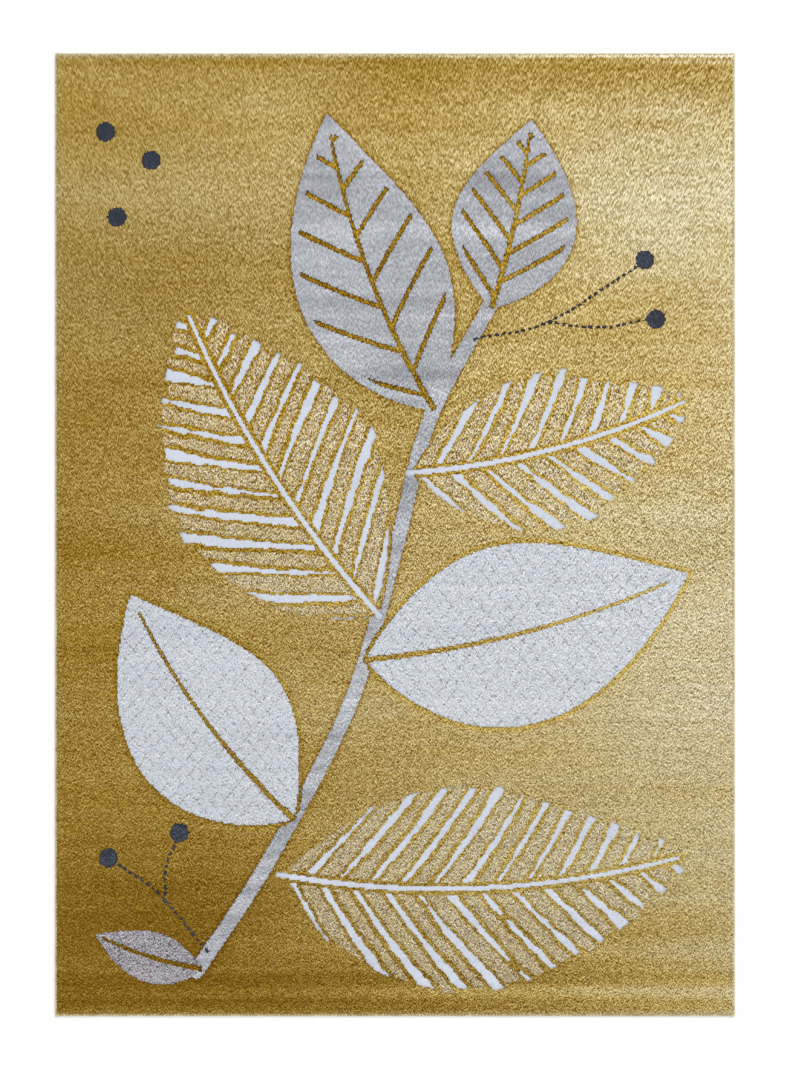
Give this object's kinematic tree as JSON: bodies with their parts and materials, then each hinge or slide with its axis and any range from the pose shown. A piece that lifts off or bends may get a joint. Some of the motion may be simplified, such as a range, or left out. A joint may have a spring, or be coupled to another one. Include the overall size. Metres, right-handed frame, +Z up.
{
  "type": "rectangular woven pile rug for a child's room",
  "caption": "Flat rectangular machine-woven cut-pile rug with carved motifs and overlocked yarn edges, lying pile side up.",
  "frame": {"origin": "middle of the rug's underside, on the surface that it lies on", "axes": "+X across the rug's width, +Y along its length towards the top of the picture, +Z up out of the pile"},
  "size_m": [1.2, 1.7, 0.012],
  "materials": {
    "gold_pile": "dense heat-set cut pile in mottled gold, with cream, lilac-grey and bluish-white pattern yarns",
    "cream_pile": "cool grey-white cut pile in a low lozenge relief",
    "lilac_grey_pile": "lilac-grey cut pile with bright fibre glints",
    "white_flatweave": "smooth bluish-white low weave",
    "charcoal_pile": "charcoal cut pile",
    "taupe_pile": "taupe cut pile",
    "backing": "natural-coloured coarse woven backing",
    "edging_yarn": "pale gold overlock yarn"
  },
  "bodies": {
    "root": {"pile_rug": "gold_pile", "side_overlock_left": "edging_yarn", "side_overlock_right": "edging_yarn", "end_overlock_foot": "edging_yarn", "end_overlock_head": "edging_yarn"}
  },
  "joints": []
}
